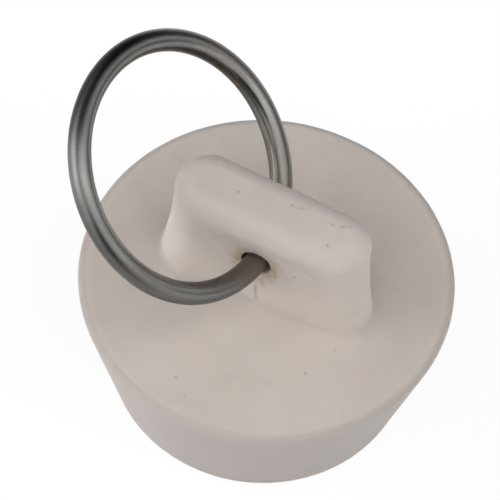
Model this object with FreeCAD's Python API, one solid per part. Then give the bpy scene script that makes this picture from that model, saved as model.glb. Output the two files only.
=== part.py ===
import FreeCAD, Part
import math
import os

# Rubber drain stopper with a wire pull ring, in millimetres.
# Origin: centre of the plug's flat underside. Z is up, X runs along the grip, Y along the ring's hole.

# Plug: a plain taper that wedges into the drain.
# The top diameter is the widest of the rim, the bottom one the heel's before it is broken.
top_diameter = 26.4
bottom_diameter = 21.2
plug_height = 10.8
rim_chamfer = 0.35
heel_chamfer = 0.3

# Grip: one moulding with the plug, and a wedge: wider and higher at its -X end.
# Each level has its share of the foot's length, its width in the middle and the widths of its two round
# ends, -X first.
grip_height = 9.3
grip_length = 15.75
foot_width = 4.4
foot_left_width = 5.1
foot_right_width = 4.0
shoulder_height = 1.2
shoulder_length_share = 0.987
shoulder_width = 4.0
shoulder_left_width = 4.8
shoulder_right_width = 3.8
waist_length_share = 0.949
waist_width = 2.7
waist_left_width = 4.2
waist_right_width = 3.4
bar_height = 6.7
bar_length_share = 0.917
bar_width = 4.2
bar_left_width = 4.8
bar_right_width = 4.2
crown_length_share = 0.873
crown_width = 3.6
crown_left_width = 4.1
crown_right_width = 3.6
crown_fall_deg = 2.2
crown_radius = 1.5

# Hole through the grip's waist, along Y, a little off the middle of the grip
hole_diameter = 2.1
hole_height = 3.5
hole_offset = -0.4

# Ring: round wire bent into a circle, its two ends butted together inside the grip
ring_outer_diameter = 19.05
wire_diameter = 1.6
butt_gap = 0.15
ring_lean_deg = 41.3

# Cuts run past the faces they leave by this much
overrun = 1.0

# Points nearer than this count as one point
same_place = 0.001

UP = FreeCAD.Vector(0, 0, 1)
HOLE_AXIS = FreeCAD.Vector(0, 1, 0)
HOLE_CENTRE = FreeCAD.Vector(hole_offset, 0, plug_height + hole_height)


def edges_at_level(shape, level):
    """The edges of a shape that lie flat at one height."""
    found = []
    for edge in shape.Edges:
        box = edge.BoundBox
        if abs(box.ZMin - level) < same_place and abs(box.ZMax - level) < same_place:
            found.append(edge)
    return found


def plug():
    """The tapered plug with its rim and heel broken. The sharp rim is wider by what the chamfer takes off."""
    taper = math.atan2((top_diameter - bottom_diameter) / 2, plug_height)
    sharp_rim = top_diameter / 2 + rim_chamfer * math.sin(taper)
    cone = Part.makeCone(bottom_diameter / 2, sharp_rim, plug_height)
    with_rim = cone.makeChamfer(rim_chamfer, edges_at_level(cone, plug_height))
    return with_rim.makeChamfer(heel_chamfer, edges_at_level(with_rim, 0))


def grip_quarter(length, width, end_width):
    """A quarter of one level in plan, on +X and +Y: where its round end stops, and half way along its side.

    The side is an arc that is tangent to the round end and runs along X at the middle of the grip. It bows in
    where the end is wider than the middle, out where it is narrower, and is straight where they are the same.
    """
    end_radius = end_width / 2
    end_x = length / 2 - end_radius
    side_y = width / 2
    bow = end_radius - side_y
    if abs(bow) < same_place:
        return (end_x, end_radius), (end_x / 2, side_y)
    side_radius = (end_x ** 2 + side_y ** 2 - end_radius ** 2) / (2 * bow)
    turn = math.atan2(end_x, abs(side_y + side_radius))
    stop = (end_x - math.copysign(end_radius * math.sin(turn), bow), end_radius * math.cos(turn))
    half_way = (abs(side_radius) * math.sin(turn / 2), side_y + side_radius * (1 - math.cos(turn / 2)))
    return stop, half_way


def grip_outline(length_share, width, left_width, right_width, height):
    """One level of the grip in plan: two round ends, and on each side two arcs that meet in the middle."""
    level = plug_height + height
    length = grip_length * length_share

    def at(x, y):
        return FreeCAD.Vector(x, y, level)

    def curve(start, middle, stop):
        if abs(start.y - middle.y) < same_place and abs(stop.y - middle.y) < same_place:
            return Part.LineSegment(start, stop).toShape()
        return Part.Arc(start, middle, stop).toShape()

    (right_x, right_y), right_half = grip_quarter(length, width, right_width)
    (left_x, left_y), left_half = grip_quarter(length, width, left_width)
    right_tip = at(length / 2, 0)
    left_tip = at(-length / 2, 0)
    side_y = width / 2
    return Part.Wire([
        Part.Arc(at(right_x, -right_y), right_tip, at(right_x, right_y)).toShape(),
        curve(at(right_x, right_y), at(*right_half), at(0, side_y)),
        curve(at(0, side_y), at(-left_half[0], left_half[1]), at(-left_x, left_y)),
        Part.Arc(at(-left_x, left_y), left_tip, at(-left_x, -left_y)).toShape(),
        curve(at(-left_x, -left_y), at(-left_half[0], -left_half[1]), at(0, -side_y)),
        curve(at(0, -side_y), at(right_half[0], -right_half[1]), at(right_x, -right_y)),
    ])


def grip():
    """The waisted grip, lofted from its foot to its tilted crown, with a rounded top edge."""
    foot = grip_outline(1, foot_width, foot_left_width, foot_right_width, 0)
    shoulder = grip_outline(
        shoulder_length_share, shoulder_width, shoulder_left_width, shoulder_right_width, shoulder_height)
    waist = grip_outline(waist_length_share, waist_width, waist_left_width, waist_right_width, hole_height)
    bar = grip_outline(bar_length_share, bar_width, bar_left_width, bar_right_width, bar_height)
    crown = grip_outline(crown_length_share, crown_width, crown_left_width, crown_right_width, grip_height)
    crown.rotate(UP * (plug_height + grip_height), HOLE_AXIS, crown_fall_deg)
    blank = Part.makeLoft([foot, shoulder, waist, bar, crown], True)
    top_face = max(blank.Faces, key=lambda face: face.CenterOfMass.z)
    return blank.makeFillet(crown_radius, top_face.Edges)


def stopper_body():
    """Plug and grip in one piece, with the ring's hole."""
    moulding = plug().fuse(grip())
    half_way = foot_width / 2 + overrun
    hole = Part.makeCylinder(hole_diameter / 2, half_way * 2, HOLE_CENTRE - HOLE_AXIS * half_way, HOLE_AXIS)
    return moulding.cut(hole).Solids[0]


def pull_ring():
    """The wire ring as it stands in its hole, leaning towards -X.

    Its bend makes it stray across the hole by the sagitta, so it is set half of that off the axis.
    """
    wire_radius = wire_diameter / 2
    ring_radius = ring_outer_diameter / 2 - wire_radius
    sagitta = waist_width ** 2 / (8 * ring_radius)
    to_wire = FreeCAD.Vector(ring_radius, 0, 0)
    ring_centre = HOLE_CENTRE - to_wire + FreeCAD.Vector(sagitta / 2, 0, 0)
    gap_deg = math.degrees(butt_gap / ring_radius)
    section = Part.Face(Part.Wire(Part.makeCircle(wire_radius, ring_centre + to_wire, HOLE_AXIS)))
    section.rotate(ring_centre, UP, gap_deg / 2)
    ring = section.revolve(ring_centre, UP, 360 - gap_deg)
    ring.rotate(HOLE_CENTRE, HOLE_AXIS, ring_lean_deg)
    return ring


os.makedirs("parts", exist_ok=True)
for name, shape in (("stopper_body", stopper_body()), ("pull_ring", pull_ring())):
    shape.exportStep("parts/" + name + ".step")
    print(name, shape.ShapeType, shape.isValid(), round(shape.Volume, 2))
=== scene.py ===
"""Looks of a rubber drain stopper with a wire pull ring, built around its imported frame."""

from __future__ import annotations

import logging
import math
from dataclasses import dataclass
from enum import Enum
from typing import Any

import bpy
import numpy as np
from mathutils import Matrix, Vector, noise


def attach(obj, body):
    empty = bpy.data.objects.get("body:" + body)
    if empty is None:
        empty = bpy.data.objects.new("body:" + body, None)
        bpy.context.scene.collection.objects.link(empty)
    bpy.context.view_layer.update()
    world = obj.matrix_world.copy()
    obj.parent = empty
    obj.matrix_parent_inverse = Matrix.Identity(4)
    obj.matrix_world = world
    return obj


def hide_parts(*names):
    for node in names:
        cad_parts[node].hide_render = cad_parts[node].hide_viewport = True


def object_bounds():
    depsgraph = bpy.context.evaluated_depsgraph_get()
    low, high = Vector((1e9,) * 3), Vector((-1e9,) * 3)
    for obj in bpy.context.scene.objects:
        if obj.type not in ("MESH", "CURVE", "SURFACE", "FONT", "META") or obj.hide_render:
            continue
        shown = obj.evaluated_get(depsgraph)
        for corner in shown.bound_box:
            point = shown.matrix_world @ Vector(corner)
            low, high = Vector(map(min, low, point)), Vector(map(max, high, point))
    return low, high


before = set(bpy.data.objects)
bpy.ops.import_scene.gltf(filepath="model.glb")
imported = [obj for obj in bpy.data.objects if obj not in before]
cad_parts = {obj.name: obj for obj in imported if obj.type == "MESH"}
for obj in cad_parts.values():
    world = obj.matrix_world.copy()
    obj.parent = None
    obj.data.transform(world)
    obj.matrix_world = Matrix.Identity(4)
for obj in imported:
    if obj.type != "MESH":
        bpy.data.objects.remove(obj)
CAD_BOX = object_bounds()

LOG = logging.getLogger("drain_stopper")

# Sizes below are in millimetres, and Blender's are in metres.
MM = 0.001

Colour = tuple[float, float, float]
Point = tuple[float, float, float]
# Where a soft step is 0 and where it is 1; it falls if the first is the larger.
Span = tuple[float, float]

# The value that a noise from 0 to 1 swings about.
NOISE_MIDDLE = 0.5
# Factors that drop what lies along the hole's axis, and along the plug's.
OFF_HOLE_AXIS: Point = (1.0, 0.0, 1.0)
OFF_PLUG_AXIS: Point = (1.0, 1.0, 0.0)
# Colours of the wire's painted dark reflections and painted highlights.
PAINTED_DARK_REFLECTION: Colour = (0.036, 0.041, 0.048)
PAINTED_HIGHLIGHT: Colour = (0.48, 0.475, 0.46)


class Body(Enum):
    """The bodies of the frame that pieces ride on."""

    STOPPER = "stopper"
    RING = "ring"


class Node(Enum):
    """The solids of the frame that pieces stand for."""

    STOPPER_BODY = "stopper_body"
    PULL_RING = "pull_ring"


class Slot(Enum):
    """The record's material slots."""

    MOULDED_RUBBER = "moulded_rubber"
    RING_STEEL = "ring_steel"


@dataclass(frozen=True)
class Grain:
    """A soft noise: its patches to a millimetre, its finer layers and how strong those are."""

    per_mm: float
    detail: float = 3.0
    roughness: float = 0.5


class Socket:
    """A value or vector on its way through a material, with Python's operators."""

    def __init__(self, graph: Graph, output: bpy.types.NodeSocket) -> None:
        """Wraps one output socket of a node in a graph."""
        self.graph = graph
        self.output = output

    @property
    def is_vector(self) -> bool:
        """Whether this socket carries a vector."""
        return self.output.type == "VECTOR"

    def __add__(self, other: Operand) -> Socket:
        """Sum."""
        return self.graph.maths("ADD", self, other)

    def __radd__(self, other: Operand) -> Socket:
        """Sum, number first."""
        return self.graph.maths("ADD", other, self)

    def __sub__(self, other: Operand) -> Socket:
        """Difference."""
        return self.graph.maths("SUBTRACT", self, other)

    def __rsub__(self, other: Operand) -> Socket:
        """Difference, number first."""
        return self.graph.maths("SUBTRACT", other, self)

    def __mul__(self, other: Operand) -> Socket:
        """Product."""
        return self.graph.maths("MULTIPLY", self, other)

    def __rmul__(self, other: Operand) -> Socket:
        """Product, number first."""
        return self.graph.maths("MULTIPLY", other, self)

    def __truediv__(self, other: Operand) -> Socket:
        """Quotient."""
        return self.graph.maths("DIVIDE", self, other)

    def __abs__(self) -> Socket:
        """Size without sign."""
        return self.graph.maths("ABSOLUTE", self)

    def at_least(self, other: Operand) -> Socket:
        """The larger of two values."""
        return self.graph.maths("MAXIMUM", self, other)

    def at_most(self, other: Operand) -> Socket:
        """The smaller of two values."""
        return self.graph.maths("MINIMUM", self, other)

    def centred(self) -> Socket:
        """The same noise, swinging about 0."""
        return self - NOISE_MIDDLE

    def raised(self, least: float) -> Socket:
        """The same share with its 0 raised to least and its 1 kept."""
        return least + (1 - least) * self

    def rise(self, span: Span) -> Socket:
        """A soft step.

        Args:
            span: where the step is 0 and where it is 1.

        Returns:
            A value from 0 to 1.
        """
        low, high = min(span), max(span)
        inputs = {"Value": self, "From Min": low, "From Max": high}
        soft = {"interpolation_type": "SMOOTHSTEP"}
        result = self.graph.out(self.graph.node("ShaderNodeMapRange", soft, inputs), "Result")
        return result if span == (low, high) else 1 - result


Operand = Socket | float | Point


class Graph:
    """The nodes of one material or of the world."""

    def __init__(self, tree: bpy.types.NodeTree) -> None:
        """Starts an empty graph in a node tree."""
        self.tree = tree
        tree.nodes.clear()

    def node(self, kind: str, settings: dict[str, Any] | None = None,
             inputs: dict[str | int, Any] | None = None) -> bpy.types.Node:
        """Makes any node.

        Args:
            kind: Blender's name of the node type.
            settings: the node's own choices, set first.
            inputs: what goes into its sockets, by name or place; a Socket is linked, a value set.

        Returns:
            The new node.
        """
        made = self.tree.nodes.new(kind)
        for name, value in (settings or {}).items():
            setattr(made, name, value)
        for key, value in (inputs or {}).items():
            self.feed(self.into(made, key), value)
        return made

    @staticmethod
    def into(node: bpy.types.Node, key: str | int) -> bpy.types.NodeSocket:
        """The input socket of a node that has this place or name and is in use."""
        if isinstance(key, int):
            return node.inputs[key]
        return next(s for s in node.inputs if s.name == key and s.enabled)

    def out(self, node: bpy.types.Node, name: str) -> Socket:
        """The output socket of a node that has this name and is in use."""
        return Socket(self, next(s for s in node.outputs if s.name == name and s.enabled))

    def feed(self, socket: bpy.types.NodeSocket, value: Any) -> None:
        """Links a Socket, or sets a plain value, on an input socket."""
        if isinstance(value, Socket):
            self.tree.links.new(value.output, socket)
            return
        if socket.type == "RGBA" and len(value) == 3:
            value = (*value, 1.0)
        socket.default_value = value

    def maths(self, operation: str, *operands: Operand) -> Socket:
        """One step of arithmetic.

        Args:
            operation: Blender's name for it.
            operands: sockets, numbers, or triples where vectors are meant.

        Returns:
            The result, a vector where an operand is one.
        """
        vectors = any(o.is_vector if isinstance(o, Socket) else isinstance(o, tuple)
                      for o in operands)
        kind, name = "ShaderNodeMath", "Value"
        if vectors:
            kind, name = "ShaderNodeVectorMath", "Vector"
            operands = [(o,) * 3 if isinstance(o, (int, float)) else o for o in operands]
        made = self.node(kind, {"operation": operation}, dict(enumerate(operands)))
        return self.out(made, name)

    def measure(self, operation: str, *vectors: Operand) -> Socket:
        """A number that a named operation makes of vectors."""
        made = self.node("ShaderNodeVectorMath", {"operation": operation}, dict(enumerate(vectors)))
        return self.out(made, "Value")

    def length(self, vector: Socket) -> Socket:
        """How long a vector is."""
        return self.measure("LENGTH", vector)

    def dot(self, vector: Socket, other: Operand) -> Socket:
        """Dot product of two vectors."""
        return self.measure("DOT_PRODUCT", vector, other)

    def split(self, vector: Socket) -> tuple[Socket, Socket, Socket]:
        """The three parts of a vector."""
        parts = self.node("ShaderNodeSeparateXYZ", inputs={"Vector": vector})
        return self.out(parts, "X"), self.out(parts, "Y"), self.out(parts, "Z")

    def join(self, x: Operand, y: Operand, z: Operand) -> Socket:
        """A vector from its three parts."""
        made = self.node("ShaderNodeCombineXYZ", inputs={"X": x, "Y": y, "Z": z})
        return self.out(made, "Vector")

    def mix(self, base: Socket | Colour, over: Socket | Colour, share: Socket) -> Socket:
        """One colour laid over another.

        Args:
            base: the colour where share is 0.
            over: the colour where share is 1.
            share: how much of the second shows.

        Returns:
            The mixed colour.
        """
        inputs = {"Factor": share, "A": base, "B": over}
        return self.out(self.node("ShaderNodeMix", {"data_type": "RGBA"}, inputs), "Result")

    def clouds(self, place: Socket, grain: Grain) -> Socket:
        """Soft noise from 0 to 1.

        Args:
            place: where on the piece, in millimetres.
            grain: the noise's size and layers.

        Returns:
            The noise.
        """
        made = self.node("ShaderNodeTexNoise", {"noise_dimensions": "3D"}, {
            "Vector": place,
            "Scale": grain.per_mm,
            "Detail": grain.detail,
            "Roughness": grain.roughness,
        })
        return self.out(made, "Fac")

    def place(self) -> Socket:
        """Where on the piece, in the frame's millimetres."""
        return self.out(self.node("ShaderNodeTexCoord"), "Object") * (1 / MM)

    def bump(self, height: Socket, depth: float, strength: float) -> Socket:
        """A Normal from a height field; depth in millimetres."""
        made = self.node("ShaderNodeBump", inputs={
            "Height": height,
            "Distance": depth * MM,
            "Strength": strength,
        })
        return self.out(made, "Normal")

    def surface(self, shader: bpy.types.Node, name: str) -> None:
        """Ends the graph with this shader's output."""
        kind = "ShaderNodeOutputWorld" if name == "Background" else "ShaderNodeOutputMaterial"
        self.node(kind, inputs={"Surface": self.out(shader, name)})


def new_material(name: str) -> tuple[bpy.types.Material, Graph]:
    """An empty node material and the graph to fill."""
    material = bpy.data.materials.new(name)
    material.use_nodes = True
    return material, Graph(material.node_tree)


@dataclass(frozen=True)
class Speck:
    """A dark dot on the rubber: where it is and how wide, in millimetres."""

    place: Point
    radius: float


@dataclass(frozen=True)
class Scratch:
    """A dark line on the rubber, in millimetres, and how far it is worn off in places."""

    start: Point
    end: Point
    width: float
    wear: float = 1.0


@dataclass(frozen=True)
class RubberFinish:
    """Matt off-white moulded rubber, mottled and scuffed, with rust at the hole, and painted shade
    in its bore, on the side wall, on the rim's edge and on the grip's crown.
    """

    hole_centre: Point
    hole_radius: float
    hole_reach: float
    rim_height: float
    rim_radius: float
    specks: tuple[Speck, ...]
    scratches: tuple[Scratch, ...]

    pale: Colour = (0.544, 0.496, 0.461)
    warm: Colour = (0.528, 0.478, 0.442)
    dusty: Colour = (0.47, 0.432, 0.40)
    # Painted shade on the side wall and on the grip's crown edges.
    wall: Colour = (0.446, 0.402, 0.383)
    # Painted shade on the rounding of the rim.
    edge: Colour = (0.37, 0.335, 0.316)
    rust: Colour = (0.36, 0.26, 0.13)
    dark: Colour = (0.12, 0.095, 0.08)
    # Painted shade, near black, in the hole's bore.
    bore_shade: Colour = (0.02, 0.017, 0.015)

    # Mottle of the whole moulding.
    broad_grain: Grain = Grain(0.17)
    broad_step: Span = (0.35, 0.65)
    patch_grain: Grain = Grain(0.55, 4.0, 0.6)
    patch_step: Span = (0.45, 0.75)
    patch_share: float = 0.4
    fine_grain: Grain = Grain(5.0, 3.0, 0.6)
    fine_step: Span = (0.5, 0.8)
    fine_share: float = 0.32

    # Painted shade: a darker side wall, a darker edge to the rim and darker sloping edges on the
    # grip's crown.
    wall_shade_below: Span = (0.0, 0.5)
    wall_shade_share: float = 0.8
    rim_shade_outwards: Span = (-0.68, -0.22)
    rim_shade_below: Span = (0.62, 0.18)
    rim_shade_share: float = 0.85
    crown_shade_above: Span = (7.6, 8.5)
    crown_shade_across: Span = (0.6, 1.3)
    crown_shade_share: float = 0.45

    # Rust round the hole's mouths, and painted shade in its bore, fuller above the axis; both
    # reaches are in hole radii.
    rust_reach: Span = (2.3, 1.1)
    rust_ragged: float = 1.6
    rust_edge_grain: Grain = Grain(1.3)
    rust_grain: Grain = Grain(2.4, 4.0)
    rust_step: Span = (0.42, 0.6)
    rust_least: float = 0.35
    rust_share: float = 0.68
    bore_shade_reach: Span = (1.12, 0.98)
    bore_shade_end: float = 0.1
    bore_shade_above: Span = (-0.65, -0.05)
    bore_shade_least: float = 0.35

    # Pits all over, and the specks and scratches.
    pits_per_mm: float = 1.1
    pit_radius: float = 0.05
    pit_radius_swing: float = 0.09
    pit_step: Span = (1.0, 0.35)
    pit_pick: Span = (0.955, 0.96)
    mark_grain: Grain = Grain(2.6, 2.0)
    scratch_ragged: float = 2.0
    wear_grain: Grain = Grain(1.8)
    wear_step: Span = (0.6, 0.35)
    scratch_share: float = 0.85
    mark_share: float = 0.5

    # Relief, gloss and the light that goes a little way through.
    fine_relief: float = 0.35
    patch_relief: float = 0.5
    mark_relief: float = 1.2
    relief_depth: float = 0.05
    relief_strength: float = 0.35
    roughness: float = 0.62
    roughness_swing: float = 0.16
    specular: float = 0.3
    glow_through: float = 1.0
    glow_reach: Point = (1.0, 0.97, 0.95)
    glow_depth: float = 1.3

    def rust_and_bore_shade(self, graph: Graph, place: Socket) -> tuple[Socket, Socket]:
        """How much rust has crept out of the hole, and how much painted shade darkens its inside.

        Args:
            graph: the material's nodes.
            place: where on the rubber, in millimetres.

        Returns:
            Two shares from 0 to 1.
        """
        from_centre = place - self.hole_centre
        reach = graph.length(from_centre * OFF_HOLE_AXIS) / self.hole_radius
        ragged = graph.clouds(place, self.rust_edge_grain).centred() * self.rust_ragged
        spots = graph.clouds(place, self.rust_grain).rise(self.rust_step)
        rust = (reach + ragged).rise(self.rust_reach) * spots.raised(self.rust_least)
        _, depth, above = graph.split(from_centre)
        end = (self.hole_reach + self.bore_shade_end, self.hole_reach - self.bore_shade_end)
        # Painted shade in the bore, fuller above the hole's axis than below.
        inside = reach.rise(self.bore_shade_reach) * abs(depth).rise(end)
        return rust, inside * above.rise(self.bore_shade_above).raised(self.bore_shade_least)

    def painted_shade_masks(self, graph: Graph, place: Socket) -> tuple[Socket, Socket, Socket]:
        """Where painted shade darkens the plug's side wall, the edge of its rim and the grip's
        crown edges.

        Args:
            graph: the material's nodes.
            place: where on the rubber, in millimetres.

        Returns:
            A share from 0 to 1 for each.
        """
        _, across, height = graph.split(place)
        above, below = height - self.rim_height, self.rim_height - height
        outwards = graph.length(place * OFF_PLUG_AXIS) - self.rim_radius
        # Painted shade on the rim's edge.
        edge = outwards.rise(self.rim_shade_outwards) * below.rise(self.rim_shade_below)
        # Painted shade on the sloping edges of the grip's crown.
        crown_shade = above.rise(self.crown_shade_above) * abs(across).rise(self.crown_shade_across)
        return below.rise(self.wall_shade_below), edge, crown_shade

    def marks(self, graph: Graph, place: Socket) -> Socket:
        """How dark the pits, specks and scratches are.

        Args:
            graph: the material's nodes.
            place: where on the rubber, in millimetres.

        Returns:
            A share from 0 to 1.
        """
        wobble = graph.clouds(place, self.mark_grain).centred()
        cells = graph.node(
            "ShaderNodeTexVoronoi",
            {"feature": "F1"},
            {"Vector": place, "Scale": self.pits_per_mm},
        )
        pick, size, _ = graph.split(graph.out(cells, "Color"))
        radius = self.pit_radius + self.pit_radius_swing * size
        near = graph.out(cells, "Distance") / radius
        total = near.rise(self.pit_step) * pick.rise(self.pit_pick)
        for speck in self.specks:
            gap = graph.length(place - speck.place) + wobble * speck.radius
            total = total.at_least(gap.rise((speck.radius, 0.0)))
        for scratch in self.scratches:
            total = total.at_least(self.line(graph, place, scratch, wobble))
        return total

    def line(self, graph: Graph, place: Socket, scratch: Scratch, wobble: Socket) -> Socket:
        """How much of one scratch shows.

        Args:
            graph: the material's nodes.
            place: where on the rubber, in millimetres.
            scratch: the line.
            wobble: noise that roughens its edge.

        Returns:
            A share from 0 to 1.
        """
        run = Vector(scratch.end) - Vector(scratch.start)
        from_start = place - scratch.start
        along = graph.dot(from_start, tuple(run)) / run.length_squared
        along = along.at_least(0.0).at_most(1.0)
        foot = graph.join(along * run.x, along * run.y, along * run.z)
        ragged = wobble * (scratch.width * self.scratch_ragged)
        gap = graph.length(from_start - foot) + ragged
        worn = graph.clouds(place, self.wear_grain).rise(self.wear_step) * scratch.wear
        return gap.rise((scratch.width, 0.0)) * (1 - worn) * self.scratch_share

    def material(self) -> bpy.types.Material:
        """The finished rubber.

        Returns:
            A node material for the moulding.
        """
        material, graph = new_material("moulded_rubber")
        place = graph.place()
        broad = graph.clouds(place, self.broad_grain)
        patches = graph.clouds(place, self.patch_grain)
        fine = graph.clouds(place, self.fine_grain)
        wall, edge, crown_shade = self.painted_shade_masks(graph, place)
        # Painted shade on the side wall and the grip's crown, mixed towards the wall colour.
        wall_and_crown_shade = wall * self.wall_shade_share + crown_shade * self.crown_shade_share
        rust, bore_shade = self.rust_and_bore_shade(graph, place)
        marks = self.marks(graph, place)
        colour = graph.mix(self.pale, self.warm, broad.rise(self.broad_step))
        for over, share in (
            (self.dusty, patches.rise(self.patch_step) * self.patch_share),
            (self.dusty, fine.rise(self.fine_step) * self.fine_share),
            (self.wall, wall_and_crown_shade),
            (self.edge, edge * self.rim_shade_share),
            (self.rust, rust * self.rust_share),
            (self.dark, marks * self.mark_share),
            (self.bore_shade, bore_shade),
        ):
            colour = graph.mix(colour, over, share)
        relief = fine * self.fine_relief + patches * self.patch_relief - marks * self.mark_relief
        shader = graph.node("ShaderNodeBsdfPrincipled", inputs={
            "Base Color": colour,
            "Roughness": self.roughness + patches.centred() * self.roughness_swing,
            "Specular IOR Level": self.specular,
            "Subsurface Weight": self.glow_through,
            "Subsurface Radius": self.glow_reach,
            "Subsurface Scale": self.glow_depth * MM,
            "Normal": graph.bump(relief, self.relief_depth, self.relief_strength),
        })
        graph.surface(shader, "BSDF")
        return material


class WireSide(Enum):
    """A side of the ring's wire, as the sign of its place outwards."""

    OUTER = 1.0
    INNER = -1.0


@dataclass(frozen=True)
class PaintedReflection:
    """A patch of painted dark reflection or painted highlight: its place along the wire, half
    length, side and strength.
    """

    along: float
    reach: float
    side: WireSide
    colour: Colour
    share: float


@dataclass(frozen=True)
class SteelFinish:
    """Dull grey drawn wire, streaked along its length, rusty where it leaves the rubber, with
    patches of painted dark reflection and painted highlight.
    """

    wire_length: float
    place_attribute: str

    grey: Colour = (0.19, 0.185, 0.176)
    dark: Colour = (0.09, 0.087, 0.083)
    light: Colour = (0.31, 0.305, 0.295)
    brown: Colour = (0.135, 0.115, 0.095)
    rust: Colour = (0.12, 0.085, 0.055)

    # Noise is drawn out along the wire for streaks, and more so for fine lines.
    streak_stretch: Point = (0.10, 1.0, 1.0)
    line_stretch: Point = (0.04, 1.0, 1.0)
    streak_grain: Grain = Grain(2.4, 4.0, 0.65)
    line_grain: Grain = Grain(9.0, 2.0)
    patch_grain: Grain = Grain(0.22)
    pit_grain: Grain = Grain(7.0, 2.0, 0.6)
    rust_grain: Grain = Grain(1.6, 4.0)

    dark_step: Span = (0.5, 0.8)
    dark_share: float = 0.32
    light_step: Span = (0.46, 0.28)
    light_share: float = 0.3
    brown_step: Span = (0.45, 0.65)
    brown_line_step: Span = (0.4, 0.6)
    brown_line_least: float = 0.4
    brown_share: float = 0.6
    pit_step: Span = (0.58, 0.75)
    pit_share: float = 0.6

    # Painted dark reflections (the first two patches) and painted highlights (the last two).
    worn: tuple[PaintedReflection, ...] = (
        PaintedReflection(27.4, 8.5, WireSide.OUTER, PAINTED_DARK_REFLECTION, 0.85),
        PaintedReflection(41.0, 7.5, WireSide.OUTER, PAINTED_DARK_REFLECTION, 0.4),
        # Painted highlights, on the inner and the outer side.
        PaintedReflection(40.0, 8.0, WireSide.INNER, PAINTED_HIGHLIGHT, 0.6),
        PaintedReflection(33.5, 2.6, WireSide.OUTER, PAINTED_HIGHLIGHT, 0.14),
    )
    reflection_core: float = 0.25
    reflection_side: Span = (-0.2, 0.5)

    rust_reach: Span = (6.5, 1.2)
    rust_step: Span = (0.3, 0.65)
    rust_share: float = 0.8
    rust_dulling: float = 0.6

    line_relief: float = 0.3
    streak_relief: float = 0.4
    pit_relief: float = 0.25
    relief_depth: float = 0.014
    relief_strength: float = 0.16
    roughness: float = 0.32
    outer_roughness: float = 0.08
    streak_roughness: float = 0.2
    rust_roughness: float = 0.2

    def material(self) -> bpy.types.Material:
        """The finished steel.

        Returns:
            A node material for the ring.
        """
        material, graph = new_material("ring_steel")
        read = graph.node("ShaderNodeAttribute", {"attribute_name": self.place_attribute})
        wire = graph.out(read, "Vector")
        along, outward, _ = graph.split(wire)
        drawn = wire * self.streak_stretch
        streaks = graph.clouds(drawn, self.streak_grain)
        lines = graph.clouds(wire * self.line_stretch, self.line_grain)
        patches = graph.clouds(wire, self.patch_grain)
        pits = graph.clouds(wire, self.pit_grain)
        lined = lines.rise(self.brown_line_step).raised(self.brown_line_least)
        colour = graph.mix(self.grey, self.dark, streaks.rise(self.dark_step) * self.dark_share)
        for over, share in (
            (self.light, streaks.rise(self.light_step) * self.light_share),
            (self.brown, patches.rise(self.brown_step) * lined * self.brown_share),
            (self.dark, pits.rise(self.pit_step) * self.pit_share),
        ):
            colour = graph.mix(colour, over, share)
        # Painted dark reflections and painted highlights, laid into the colour in patches along the
        # wire.
        for patch in self.worn:
            near = abs(along - patch.along).rise((patch.reach, patch.reach * self.reflection_core))
            side = (outward * patch.side.value).rise(self.reflection_side)
            colour = graph.mix(colour, patch.colour, near * side * patch.share)
        from_joint = along.at_most(self.wire_length - along)
        spots = graph.clouds(drawn, self.rust_grain).rise(self.rust_step)
        rust = from_joint.rise(self.rust_reach) * spots
        colour = graph.mix(colour, self.rust, rust * self.rust_share)
        relief = lines * self.line_relief + streaks * self.streak_relief + pits * self.pit_relief
        roughness = self.roughness + outward * self.outer_roughness
        roughness += streaks.centred() * self.streak_roughness + rust * self.rust_roughness
        shader = graph.node("ShaderNodeBsdfPrincipled", inputs={
            "Base Color": colour,
            "Metallic": 1.0 - rust * self.rust_dulling,
            "Roughness": roughness,
            "Normal": graph.bump(relief, self.relief_depth, self.relief_strength),
        })
        graph.surface(shader, "BSDF")
        return material


@dataclass(frozen=True)
class FloorFinish:
    """A plain pale floor that a camera sees as white, with the object's shadow on it."""

    paper: Colour = (0.6, 0.6, 0.6)
    seen_paper: Colour = (1.0, 1.0, 1.0)
    glow: float = 1.0
    glow_share: float = 0.9

    def material(self) -> bpy.types.Material:
        """The finished floor.

        Returns:
            A node material for the floor.
        """
        material, graph = new_material("pale_floor")
        path = graph.node("ShaderNodeLightPath")
        seen = graph.out(path, "Is Camera Ray")
        for ray in ("Is Glossy Ray", "Is Transmission Ray"):
            seen = seen.at_least(graph.out(path, ray))
        paper = graph.node("ShaderNodeBsdfDiffuse", inputs={
            "Color": graph.mix(self.paper, self.seen_paper, seen),
        })
        glow = graph.node("ShaderNodeEmission", inputs={
            "Color": self.seen_paper,
            "Strength": self.glow,
        })
        both = graph.node("ShaderNodeMixShader", inputs={
            0: seen * self.glow_share,
            1: graph.out(paper, "BSDF"),
            2: graph.out(glow, "Emission"),
        })
        graph.surface(both, "Shader")
        return material


def mesh_object(name: str, points: np.ndarray, faces: list[tuple[int, ...]]) -> bpy.types.Object:
    """A smooth-shaded mesh object in the scene.

    Args:
        name: the piece's name.
        points: corners in millimetres, one row each.
        faces: corner numbers of each face, anticlockwise from outside.

    Returns:
        The new object, at the origin of the frame.
    """
    mesh = bpy.data.meshes.new(name)
    mesh.from_pydata((points * MM).tolist(), [], faces)
    mesh.polygons.foreach_set("use_smooth", [True] * len(mesh.polygons))
    mesh.update()
    made = bpy.data.objects.new(name, mesh)
    bpy.context.scene.collection.objects.link(made)
    return made


def band_faces(loops: int, around: int) -> list[tuple[int, ...]]:
    """Quads between neighbouring closed loops of points.

    Args:
        loops: how many loops there are, numbered from the first on.
        around: how many points each loop has.

    Returns:
        The corner numbers of each quad.
    """
    faces = []
    for loop in range(loops - 1):
        low, high = loop * around, (loop + 1) * around
        for i in range(around):
            j = (i + 1) % around
            faces.append((low + i, low + j, high + j, high + i))
    return faces


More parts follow.
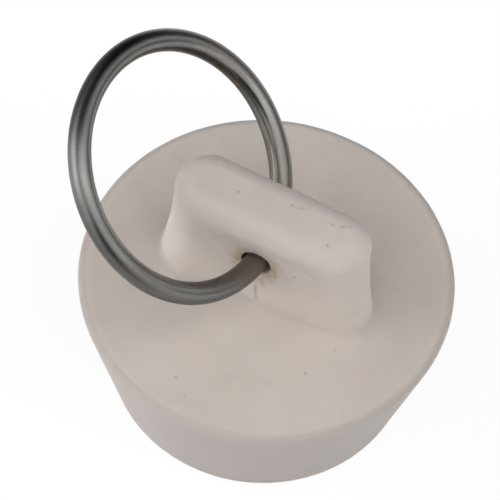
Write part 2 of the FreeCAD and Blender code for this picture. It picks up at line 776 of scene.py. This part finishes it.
def cap_faces(first: int, around: int, flip: bool) -> list[tuple[int, ...]]:
    """Quads across a flat loop that is its own mirror image, from each point to its opposite.

    Args:
        first: the number of the loop's first point, which lies on the mirror line.
        around: how many points the loop has.
        flip: whether the cap faces the other way.

    Returns:
        The corner numbers of each face.
    """
    faces = []
    for i in range(around // 2):
        ring = [i, i + 1, (around - i - 1) % around, (around - i) % around]
        corners = list(dict.fromkeys(first + k for k in ring))
        faces.append(tuple(reversed(corners)) if flip else tuple(corners))
    return faces


def turned(faces: list[tuple[int, ...]]) -> list[tuple[int, ...]]:
    """The same faces, facing the other way."""
    return [tuple(reversed(face)) for face in faces]


def full_turn(count: int) -> np.ndarray:
    """Evenly spaced angles once round, in radians."""
    return np.arange(count) / count * 2 * math.pi


@dataclass
class StopperMoulding:
    """The tapered plug and the waisted grip on it, one rubber moulding."""

    top_diameter: float = 26.4
    bottom_diameter: float = 21.2
    plug_height: float = 10.8
    rim_radius: float = 0.42
    heel_radius: float = 0.38

    # The grip at five heights above the plug: its length, its width and its two round ends.
    level_heights: tuple[float, ...] = (0.0, 1.2, 3.5, 6.7, 9.3)
    level_lengths: tuple[float, ...] = (15.75, 15.55, 14.95, 14.45, 13.75)
    level_widths: tuple[float, ...] = (4.4, 4.0, 2.7, 4.2, 3.6)
    level_left_ends: tuple[float, ...] = (5.1, 4.8, 4.2, 4.8, 4.1)
    level_right_ends: tuple[float, ...] = (4.0, 3.8, 3.4, 4.2, 3.6)
    level_falls: tuple[float, ...] = (0.0, 0.0, 0.0, 0.0, 1.0)
    least_bow: float = 1e-4
    crown_radius: float = 1.5
    crown_fall_deg: float = 2.2
    crown_inset: float = 0.93
    foot_radius: float = 0.38

    hole_diameter: float = 2.1
    hole_height: float = 3.5
    hole_offset: float = -0.4
    mouth_radius: float = 0.2
    mouth_depth: float = 1.5
    mouth_turn: float = 0.85
    pin_overrun: float = 2.0

    # How deep the faces sink at most, and each wave's share of it and waves to a millimetre.
    unevenness: float = 0.05
    sink_waves: tuple[tuple[float, float], ...] = ((0.6, 0.23), (0.4, 0.71))

    around: int = 352
    pin_around: int = 72
    outline_steps: int = 400
    lean_steps: int = 600
    top_steps: int = 6
    crown_steps: int = 13
    grip_steps: int = 50
    foot_steps: int = 9
    face_steps: int = 24
    rim_steps: int = 10
    wall_steps: int = 26
    heel_steps: int = 9
    underside_steps: int = 14
    mouth_steps: int = 7
    sharp_deg: float = 40.0

    specks: tuple[Speck, ...] = (
        Speck((-2.6, -0.17, 20.2), 0.15),
        Speck((2.53, -1.41, 14.55), 0.19),
        Speck((3.44, -1.78, 16.46), 0.23),
        Speck((4.53, -1.14, 19.88), 0.18),
        Speck((-4.78, 1.02, 20.28), 0.14),
        Speck((-2.1, -10.2, 10.8), 0.18),
        Speck((5.7, -5.9, 10.8), 0.14),
        Speck((6.7, -3.3, 10.8), 0.12),
    )
    scratches: tuple[Scratch, ...] = (
        Scratch((1.1, 0.57, 20.06), (1.61, 0.56, 20.04), 0.13),
        Scratch((1.65, 0.64, 20.04), (2.29, 0.78, 20.01), 0.16),
        Scratch((4.58, 0.53, 19.92), (5.33, 0.93, 19.87), 0.17),
        Scratch((4.1, 0.44, 19.95), (4.4, 0.47, 19.93), 0.12),
        Scratch((-0.08, -1.93, 12.2), (0.16, -2.2, 11.12), 0.19, 0.25),
        Scratch((-2.04, -1.49, 14.1), (-1.65, -1.51, 13.75), 0.08),
    )

    @property
    def grip_height(self) -> float:
        """How far the grip rises above the plug."""
        return self.level_heights[-1]

    @property
    def hole_centre(self) -> Point:
        """The middle of the ring's hole."""
        return (self.hole_offset, 0.0, self.plug_height + self.hole_height)

    def level(self, sizes: tuple[float, ...], height: float | np.ndarray) -> float | np.ndarray:
        """A size of the grip at any height.

        Args:
            sizes: the size at each of the grip's levels.
            height: how far above the plug's top.

        Returns:
            The size there, on the smooth curve through the levels.
        """
        curve = np.polyfit(self.level_heights, sizes, len(sizes) - 1)
        return np.polyval(curve, height)

    def quarter(self, tip_x: float, end_width: float, side_y: float) -> np.ndarray:
        """A quarter of one level in plan: a round end, and an arc tangent to it for the side.

        Args:
            tip_x: how far the end reaches along X.
            end_width: the width of the round end.
            side_y: how far the middle of the side is from the grip's middle plane.

        Returns:
            Closely spaced points from the end's tip to the middle of the side, for an end on +X.
        """
        end_radius = end_width / 2
        end_x = tip_x - end_radius
        bow = end_radius - side_y
        if abs(bow) < self.least_bow:
            bow = self.least_bow
        side_radius = (end_x ** 2 + side_y ** 2 - end_radius ** 2) / (2 * bow)
        sign = math.copysign(1.0, bow)
        bend = math.pi / 2 + sign * math.atan2(end_x, abs(side_y + side_radius))
        turn = np.linspace(0.0, 1.0, self.outline_steps) * bend
        end_arc = np.stack([end_x + end_radius * np.cos(turn), end_radius * np.sin(turn)], 1)
        across = np.linspace(end_arc[-1, 0], 0.0, self.outline_steps)[1:]
        drop = sign * np.sqrt(side_radius ** 2 - across ** 2)
        side = np.stack([across, side_y + side_radius - drop], 1)
        return np.concatenate([end_arc, side])

    def outline(self, height: float, outset: float) -> np.ndarray:
        """The grip in plan at one height.

        Args:
            height: how far above the plug's top.
            outset: how far outside the grip's own wall.

        Returns:
            Evenly spaced points from the +X end round, one row of x and y each.
        """
        tip_x = self.level(self.level_lengths, height) / 2
        side_y = self.level(self.level_widths, height) / 2
        right = self.quarter(tip_x, self.level(self.level_right_ends, height), side_y)
        left = self.quarter(tip_x, self.level(self.level_left_ends, height), side_y) * (-1, 1)
        half = np.concatenate([right, left[-2::-1]])
        whole = np.concatenate([half, (half * (1, -1))[-2:0:-1]])
        closed = np.concatenate([whole, whole[:1]])
        strides = np.linalg.norm(np.diff(closed, axis=0), axis=1)
        run = np.concatenate([[0.0], np.cumsum(strides)])
        at = np.arange(self.around) / self.around * run[-1]
        points = np.stack([np.interp(at, run, closed[:, k]) for k in range(2)], 1)
        ahead = np.roll(points, -1, 0) - np.roll(points, 1, 0)
        ahead /= np.linalg.norm(ahead, axis=1, keepdims=True)
        outwards = np.stack([ahead[:, 1], -ahead[:, 0]], 1)
        return points + outwards * outset

    def circle(self, radius: float) -> np.ndarray:
        """A round loop whose points face those of the grip's foot.

        Args:
            radius: the loop's radius.

        Returns:
            One row of x and y for each point.
        """
        foot = self.outline(0.0, 0.0)
        facing = np.unwrap(np.arctan2(foot[:, 1], foot[:, 0]))
        angle = (facing + full_turn(self.around)) / 2
        return np.stack([np.cos(angle), np.sin(angle)], 1) * radius

    def plug_profile(self) -> list[tuple[float, float]]:
        """Radius and height down the plug, from the top face's edge to the underside.

        Returns:
            The rounded rim, the taper, the rounded heel and the flat underside.
        """
        top, bottom = self.top_diameter / 2, self.bottom_diameter / 2
        taper = math.atan2(top - bottom, self.plug_height)
        rim_x, rim_z = top - self.rim_radius, self.plug_height - self.rim_radius
        heel_x = bottom + self.heel_radius * (2 * math.tan(taper) - 1 / math.cos(taper))
        profile = []
        for a in np.linspace(math.pi / 2, -taper, self.rim_steps):
            radius = rim_x + self.rim_radius * math.cos(a)
            profile.append((radius, rim_z + self.rim_radius * math.sin(a)))
        heel = []
        for a in np.linspace(-taper, -math.pi / 2, self.heel_steps):
            radius = heel_x + self.heel_radius * math.cos(a)
            heel.append((radius, self.heel_radius * (1 + math.sin(a))))
        start, stop = np.array(profile[-1]), np.array(heel[0])
        wall = np.linspace(0, 1, self.wall_steps)[1:-1]
        profile += [tuple(start + (stop - start) * t) for t in wall]
        profile += heel
        profile += [(heel_x * t, 0.0) for t in np.linspace(1, 0, self.underside_steps)[1:-1]]
        return profile

    def crown_start(self) -> tuple[float, float]:
        """Where the wall turns into the rounded crown.

        Returns:
            Its height above the plug, and how far the wall leans in there, in radians.
        """
        heights = np.linspace(self.level_heights[-2], self.grip_height, self.lean_steps)
        lean = np.arctan(-np.gradient(self.level(self.level_widths, heights) / 2, heights))
        misfit = heights - (self.grip_height - self.crown_radius * (1 - np.sin(lean)))
        height = float(np.interp(0.0, misfit, heights))
        return height, float(np.interp(height, heights, lean))

    def loops(self) -> list[np.ndarray]:
        """Every loop of the moulding, from the grip's top down over the plug to its underside.

        Returns:
            Closed loops of points, each with a row of x, y and z for each point.
        """
        top = self.plug_height
        slope = math.tan(math.radians(self.crown_fall_deg))
        found: list[np.ndarray] = []

        def add(plan: np.ndarray, height: float) -> None:
            """Adds a level loop this high over the underside."""
            found.append(np.column_stack([plan, np.full(len(plan), height)]))

        def climb(plan: np.ndarray, height: float) -> None:
            """Adds a loop of the grip this high over the plug, sloped as its crown is."""
            fall = plan[:, 0] * (slope * self.level(self.level_falls, height))
            found.append(np.column_stack([plan, top + height - fall]))

        crown, lean = self.crown_start()
        flat = self.crown_radius * math.cos(lean)
        half_width = self.level(self.level_widths, crown) / 2
        for inset in np.linspace(half_width * self.crown_inset, flat, self.top_steps)[:-1]:
            climb(self.outline(crown, -inset), self.grip_height)
        for a in np.linspace(math.pi / 2, lean, self.crown_steps):
            inset = self.crown_radius * (math.cos(lean) - math.cos(a))
            height = self.grip_height - self.crown_radius * (1 - math.sin(a))
            climb(self.outline(crown, -inset), height)
        for height in np.linspace(crown, self.foot_radius, self.grip_steps)[1:-1]:
            climb(self.outline(height, 0.0), height)
        for a in np.linspace(0.0, math.pi / 2, self.foot_steps):
            height = self.foot_radius * (1 - math.sin(a))
            add(self.outline(height, self.foot_radius * (1 - math.cos(a))), top + height)
        foot = found[-1][:, :2]
        profile = self.plug_profile()
        edge = self.circle(profile[0][0])
        for t in np.linspace(0.0, 1.0, self.face_steps)[1:-1]:
            add(foot + (edge - foot) * t, top)
        for radius, height in profile:
            add(self.circle(radius), height)
        return found

    def roughen(self, points: np.ndarray) -> np.ndarray:
        """Sinks the moulded faces a little and unevenly, as soft rubber cures.

        Args:
            points: the smooth moulding.

        Returns:
            The same points, moved inwards, but for the flat underside.
        """
        inner = np.array((0.0, 0.0, self.plug_height / 2))
        moved = points.copy()
        for i, point in enumerate(points):
            spot = Vector(point)
            dip = sum(share * (noise.noise(spot * per_mm) + 1) / 2
                      for share, per_mm in self.sink_waves)
            towards = inner - point
            towards /= np.linalg.norm(towards)
            fade = min(1.0, point[2] / self.heel_radius)
            moved[i] += towards * (dip * self.unevenness * fade)
        return moved

    def cutter(self) -> bpy.types.Object:
        """The round pin that makes the hole, flared where it leaves the rubber.

        Returns:
            A closed mesh object along Y.
        """
        bend = self.mouth_radius
        centre_x, _, centre_z = self.hole_centre
        side = []
        for a in np.linspace(0.0, math.pi / 2 * self.mouth_turn, self.mouth_steps):
            y = self.mouth_depth - bend + bend * math.sin(a)
            side.append((y, self.hole_diameter / 2 + bend * (1 - math.cos(a))))
        side.append((self.mouth_depth + self.pin_overrun, side[-1][1]))
        stations = [(-y, r) for y, r in reversed(side)] + side
        points = [(centre_x + r * math.cos(a), y, centre_z - r * math.sin(a))
                  for y, r in stations for a in full_turn(self.pin_around)]
        faces = band_faces(len(stations), self.pin_around)
        last = (len(stations) - 1) * self.pin_around
        faces.append(tuple(reversed(range(self.pin_around))))
        faces.append(tuple(range(last, last + self.pin_around)))
        return mesh_object("hole_cutter", np.array(points), faces)

    def build(self) -> bpy.types.Object:
        """Makes the moulding.

        Returns:
            The finished mesh object, in place.
        """
        loops = self.loops()
        points = self.roughen(np.concatenate(loops))
        faces = turned(band_faces(len(loops), self.around))
        faces += cap_faces(0, self.around, False)
        faces += cap_faces((len(loops) - 1) * self.around, self.around, True)
        blank = mesh_object("rubber_stopper", points, faces)
        cutter = self.cutter()
        cut = blank.modifiers.new("hole", "BOOLEAN")
        cut.operation = "DIFFERENCE"
        cut.solver = "EXACT"
        cut.object = cutter
        evaluated = blank.evaluated_get(bpy.context.evaluated_depsgraph_get())
        mesh = bpy.data.meshes.new_from_object(evaluated)
        blank.modifiers.clear()
        blank.data = mesh
        mesh.name = "rubber_stopper"
        mesh.polygons.foreach_set("use_smooth", [True] * len(mesh.polygons))
        bpy.data.objects.remove(cutter)
        mesh.set_sharp_from_angle(angle=math.radians(self.sharp_deg))
        return blank

    def dress(self, piece: bpy.types.Object) -> None:
        """Gives the moulding its rubber and ties it to the frame.

        Args:
            piece: the moulding that build made.
        """
        finish = RubberFinish(
            hole_centre=self.hole_centre,
            hole_radius=self.hole_diameter / 2,
            hole_reach=self.mouth_depth,
            rim_height=self.plug_height,
            rim_radius=self.top_diameter / 2,
            specks=self.specks,
            scratches=self.scratches,
        )
        piece.data.materials.clear()
        piece.data.materials.append(finish.material())
        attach(piece, Body.STOPPER.value)
        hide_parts(Node.STOPPER_BODY.value)


@dataclass
class PullRing:
    """The steel wire ring that hangs in the grip's hole."""

    hole_centre: Point
    waist_width: float = 2.7
    outer_diameter: float = 19.05
    wire_diameter: float = 1.6
    butt_gap: float = 0.15
    end_radius: float = 0.12
    lean_deg: float = 41.3
    along: int = 420
    around: int = 40
    end_steps: int = 6
    place_attribute: str = "wire_place"

    @property
    def bend_radius(self) -> float:
        """From the ring's middle to the middle of its wire."""
        return (self.outer_diameter - self.wire_diameter) / 2

    @property
    def wire_length(self) -> float:
        """How long the wire is along its middle."""
        return 2 * math.pi * self.bend_radius - self.butt_gap

    def stations(self) -> list[tuple[float, float]]:
        """Where the wire's loops lie along it, and their radii.

        Returns:
            Place and radius of each loop, from one rounded end to the other.
        """
        wire, bend = self.wire_diameter / 2, self.end_radius
        start = [(bend * (1 - math.sin(a)), wire - bend * (1 - math.cos(a)))
                 for a in np.linspace(math.pi / 2, 0.0, self.end_steps)]
        stop = [(self.wire_length - s, r) for s, r in reversed(start)]
        middle = np.linspace(bend, self.wire_length - bend, self.along)[1:-1]
        return start + [(float(s), wire) for s in middle] + stop

    def build(self) -> bpy.types.Object:
        """Makes the ring.

        Returns:
            The finished mesh object, in place.
        """
        stations = self.stations()
        sagitta = self.waist_width ** 2 / (8 * self.bend_radius)
        hole = Vector(self.hole_centre)
        centre = hole - Vector((self.bend_radius, 0, 0)) + Vector((sagitta / 2, 0, 0))
        lean = Matrix.Rotation(math.radians(self.lean_deg), 3, "Y")
        points, places = [], []
        for s, r in stations:
            turn = (s + self.butt_gap / 2) / self.bend_radius
            out = Vector((math.cos(turn), math.sin(turn), 0))
            for a in full_turn(self.around):
                outward, normal = r * math.cos(a), r * math.sin(a)
                flat = centre + out * (self.bend_radius + outward) + Vector((0, 0, normal))
                points.append(lean @ (flat - hole) + hole)
                places.append((s, outward, normal))
        count = len(stations)
        faces = turned(band_faces(count, self.around))
        faces.append(tuple(range(self.around)))
        faces.append(tuple(reversed(range((count - 1) * self.around, count * self.around))))
        ring = mesh_object("steel_ring", np.array(points), faces)
        attribute = ring.data.attributes.new(self.place_attribute, "FLOAT_VECTOR", "POINT")
        attribute.data.foreach_set("vector", np.array(places, np.float32).ravel())
        return ring

    def dress(self, piece: bpy.types.Object) -> None:
        """Gives the ring its steel and ties it to the frame.

        Args:
            piece: the ring that build made.
        """
        finish = SteelFinish(self.wire_length, self.place_attribute)
        piece.data.materials.append(finish.material())
        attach(piece, Body.RING.value)
        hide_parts(Node.PULL_RING.value)


@dataclass(frozen=True)
class PhotoCamera:
    """The camera as it stood for the photograph, found from the plug's and ring's outlines."""

    image_px: int = 500
    focal_px: float = 3897.5
    sensor: float = 36.0
    distance: float = 272.27
    aim_height: float = 10.3
    azimuth_deg: float = 20.32
    elevation_deg: float = 58.867
    roll_deg: float = 5.755
    pan: float = -0.00501
    tilt: float = 0.00706
    nearest_m: float = 0.01
    farthest_m: float = 100.0

    def build(self) -> bpy.types.Object:
        """Makes the scene's camera.

        Returns:
            The camera object.
        """
        elevation, azimuth = math.radians(self.elevation_deg), math.radians(self.azimuth_deg)
        back = Vector((0, -math.cos(elevation), math.sin(elevation)))
        right = Vector((1, 0, 0))
        up = right.cross(-back)
        ahead = (-back + right * self.pan + up * self.tilt).normalized()
        right = ahead.cross(up).normalized()
        up = right.cross(ahead)
        roll = math.radians(self.roll_deg)
        across = right * math.cos(roll) + up * math.sin(roll)
        upright = up * math.cos(roll) - right * math.sin(roll)
        turn = Matrix.Rotation(azimuth, 3, "Z")
        axes = Matrix((turn @ across, turn @ upright, turn @ -ahead)).transposed()
        spot = turn @ (back * self.distance) + Vector((0, 0, self.aim_height))
        data = bpy.data.cameras.new("photo_camera")
        data.sensor_width = self.sensor
        data.lens = self.focal_px * self.sensor / self.image_px
        data.clip_start, data.clip_end = self.nearest_m, self.farthest_m
        camera = bpy.data.objects.new("photo_camera", data)
        camera.matrix_world = Matrix.Translation(spot * MM) @ axes.to_4x4()
        bpy.context.scene.collection.objects.link(camera)
        bpy.context.scene.camera = camera
        return camera


@dataclass(frozen=True)
class Lamp:
    """A soft square lamp that faces the object, in metres and degrees."""

    name: str
    azimuth_deg: float
    elevation_deg: float
    level: float
    distance: float = 0.6
    size: float = 0.5

    def build(self, aim: Vector) -> bpy.types.Object:
        """Makes the lamp.

        Args:
            aim: the point that it faces.

        Returns:
            The lamp object, which a camera doesn't see.
        """
        azimuth, elevation = math.radians(self.azimuth_deg), math.radians(self.elevation_deg)
        reach = math.cos(elevation)
        back = Vector((math.sin(azimuth) * reach, -math.cos(azimuth) * reach, math.sin(elevation)))
        data = bpy.data.lights.new(self.name, "AREA")
        data.size = self.size
        # With this power, a white face turned to the lamp shows at about its level.
        data.energy = self.level * math.pi ** 2 * self.distance ** 2
        lamp = bpy.data.objects.new(self.name, data)
        lamp.location = aim + back * self.distance
        lamp.rotation_mode = "QUATERNION"
        lamp.rotation_quaternion = back.to_track_quat("Z", "Y")
        lamp.visible_camera = False
        bpy.context.scene.collection.objects.link(lamp)
        return lamp


@dataclass
class Studio:
    """Floor, surround and soft lamps; the floor's sizes are in metres."""

    floor_size: float = 8.0
    floor_drop: float = 0.00005
    lamps: tuple[Lamp, ...] = (
        Lamp("left_lamp", -65.0, 29.0, 0.66),
        Lamp("front_lamp", -20.0, 18.0, 0.39),
        Lamp("low_lamp", 70.0, 20.0, 0.32),
        Lamp("top_lamp", 25.0, 65.0, 0.27),
        Lamp("right_lamp", 72.0, 58.0, 0.27),
        Lamp("side_lamp", 115.0, 40.0, 0.28),
        Lamp("back_lamp", -110.0, 40.0, 0.16),
    )

    def floor(self) -> None:
        """Makes the floor, which isn't part of the object."""
        half, drop = self.floor_size / 2 / MM, -self.floor_drop / MM
        signs = ((-1, -1), (1, -1), (1, 1), (-1, 1))
        corners = np.array([(x * half, y * half, drop) for x, y in signs])
        floor = mesh_object("pale_floor", corners, [(0, 1, 2, 3)])
        floor.data.materials.append(FloorFinish().material())

    def surround(self) -> None:
        """Sets a surround that a camera sees as white and that lights nothing."""
        world = bpy.data.worlds.new("studio")
        world.use_nodes = True
        graph = Graph(world.node_tree)
        seen = graph.out(graph.node("ShaderNodeLightPath"), "Is Camera Ray")
        light = graph.node("ShaderNodeBackground", inputs={"Color": graph.join(seen, seen, seen)})
        graph.surface(light, "Background")
        bpy.context.scene.world = world

    def build(self, aim: Vector) -> None:
        """Makes the whole studio.

        Args:
            aim: the object's middle, which the lamps face.
        """
        self.floor()
        self.surround()
        for lamp in self.lamps:
            lamp.build(aim)
        bpy.context.scene.view_settings.view_transform = "Standard"


def main() -> None:
    """Builds every piece, the studio and the camera, and logs the pieces' faces and the lens."""
    logging.basicConfig(level=logging.INFO, format="%(name)s: %(message)s")
    moulding = StopperMoulding()
    ring = PullRing(moulding.hole_centre)
    for maker in (moulding, ring):
        piece = maker.build()
        maker.dress(piece)
        LOG.info("%s: %d faces", piece.name, len(piece.data.polygons))
    low, high = CAD_BOX
    Studio().build((low + high) / 2)
    camera = PhotoCamera().build()
    LOG.info("%s: lens %.1f mm", camera.name, camera.data.lens)


if __name__ == "__main__":
    main()
